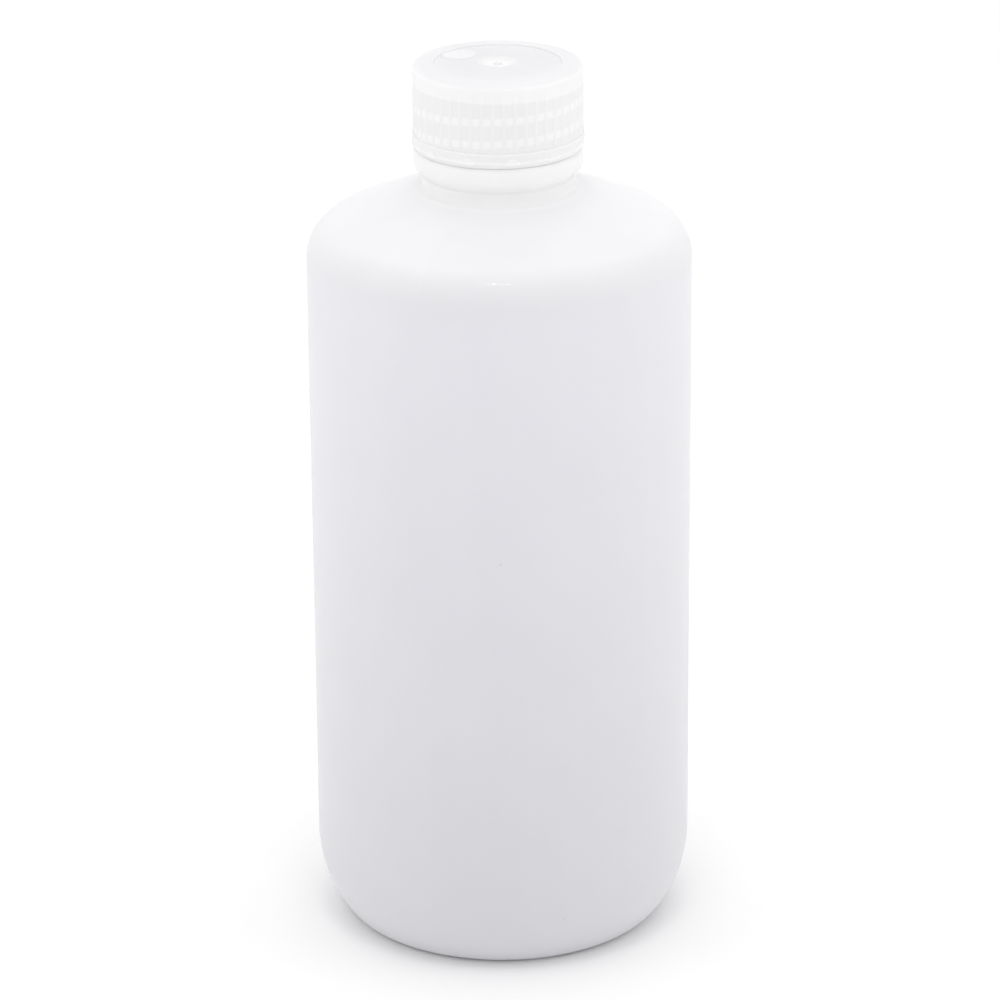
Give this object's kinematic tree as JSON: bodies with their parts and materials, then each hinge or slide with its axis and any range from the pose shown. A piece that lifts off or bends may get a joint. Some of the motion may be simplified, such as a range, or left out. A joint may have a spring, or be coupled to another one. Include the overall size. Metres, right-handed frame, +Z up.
{
  "type": "reagent bottle",
  "caption": "Upright round plastic bottle with a rounded shoulder, narrow threaded neck and ribbed screw cap over a sealing disc, for storing and pouring laboratory liquids.",
  "frame": {"origin": "on the bottle's axis, at the surface it stands on", "axes": "+Z up along the bottle's axis, -Y towards the front, +X to the right seen from the front"},
  "size_m": [0.073, 0.073, 0.1721],
  "materials": {
    "bottle_plastic": "milky translucent natural polyethylene, satin",
    "cap_plastic": "milky translucent natural polypropylene, satin",
    "liner_foam": "soft matt polyethylene foam"
  },
  "bodies": {
    "bottle": {"bottle": "bottle_plastic"},
    "liner": {"sealing_liner": "liner_foam"},
    "cap": {"screw_cap": "cap_plastic"}
  },
  "joints": [
    {"name": "cap_lift", "type": "slide", "parent": "bottle", "child": "liner", "axis": [0, 0, 1], "range_m": [0, 0.00741]},
    {"name": "cap_turn", "type": "hinge", "parent": "liner", "child": "cap", "pos_m": [0, 0, 0.1628], "axis": [0, 0, 1], "range_deg": [0, 630]}
  ],
  "couplings": [
    {"joint": "cap_lift", "follows": "cap_turn", "m_per_rad": 0.00067376}
  ]
}
